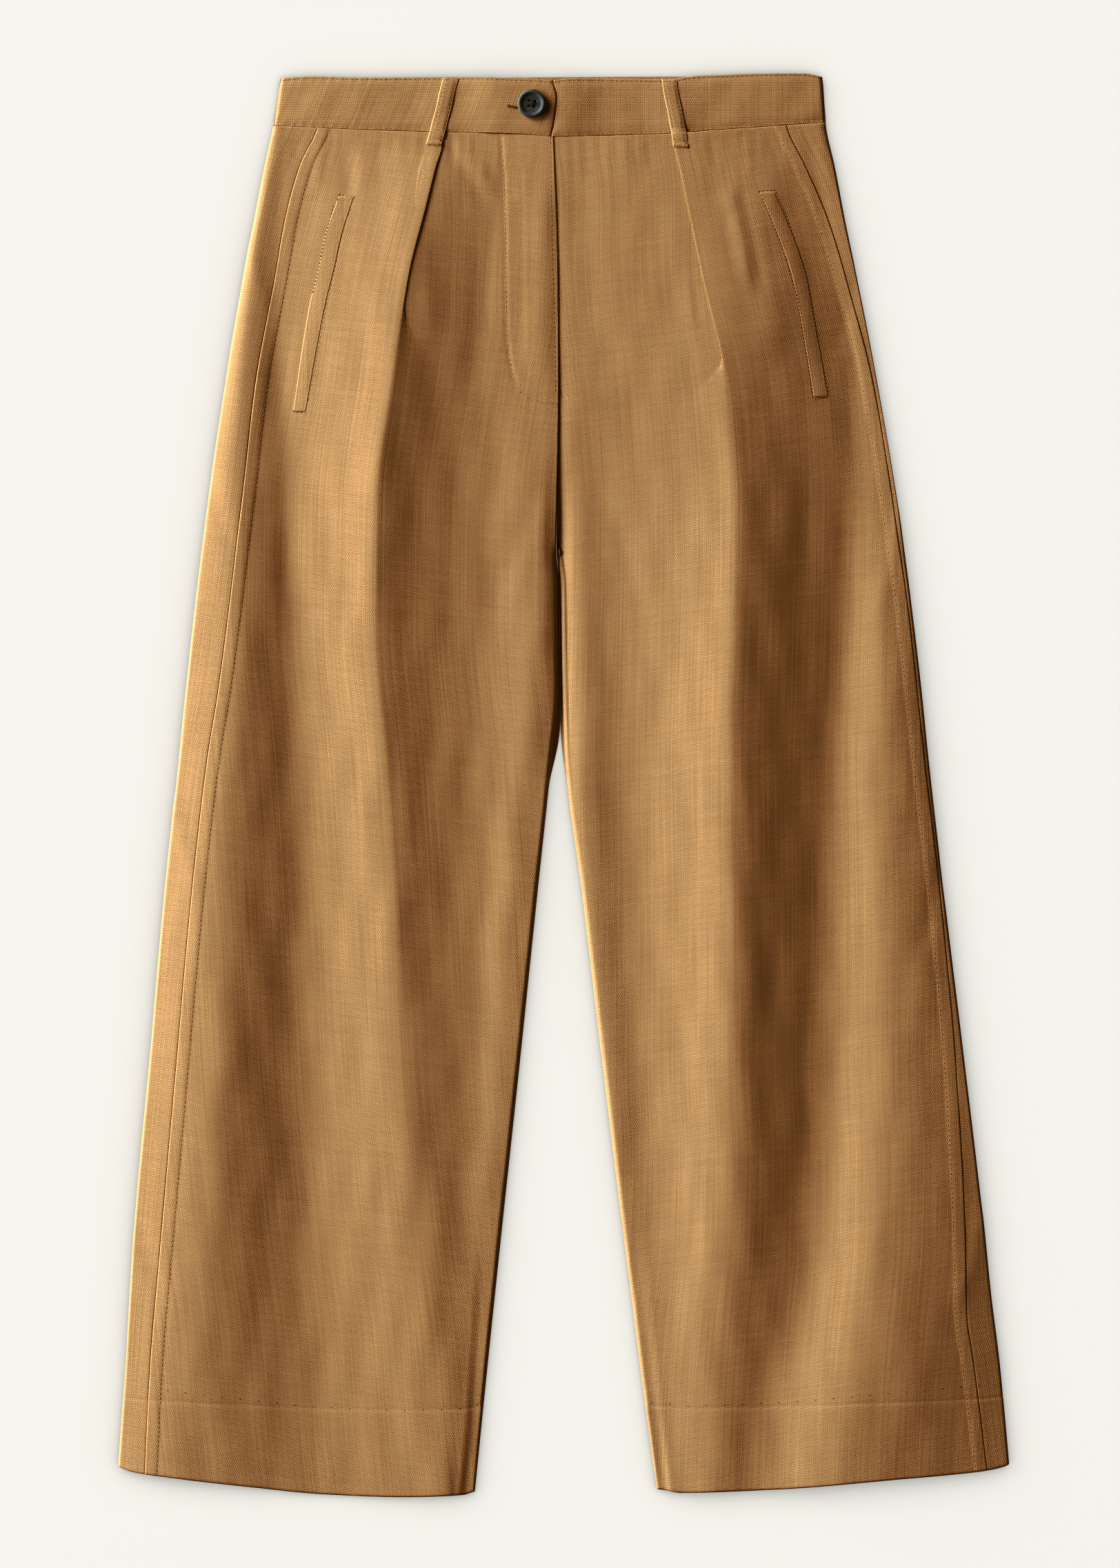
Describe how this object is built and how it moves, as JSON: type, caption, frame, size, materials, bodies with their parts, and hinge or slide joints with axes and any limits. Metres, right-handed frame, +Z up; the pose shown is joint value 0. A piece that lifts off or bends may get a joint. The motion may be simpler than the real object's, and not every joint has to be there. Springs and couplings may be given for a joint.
{
  "type": "barrel leg pants",
  "caption": "Barrel leg trousers laid flat with the front up, pleated below a buttoned waistband with belt loops and slanting welt pockets.",
  "frame": {"origin": "middle of the outline's box, on the surface that the garment lies on", "axes": "+X to the wearer's left, +Y to the waist, +Z up from the surface, the front of the garment facing up"},
  "size_m": [0.6132, 0.9808, 0.0194],
  "materials": {
    "cloth": "matt linen-look plain weave with slubs, tobacco brown",
    "button": "satin, dark slate"
  },
  "bodies": {
    "root": {"front_right": "cloth", "front_left": "cloth", "back_right": "cloth", "back_left": "cloth", "waistband": "cloth", "belt_loop_right": "cloth", "belt_loop_left": "cloth", "pocket_welt_right": "cloth", "pocket_welt_left": "cloth", "button": "button"}
  },
  "joints": []
}
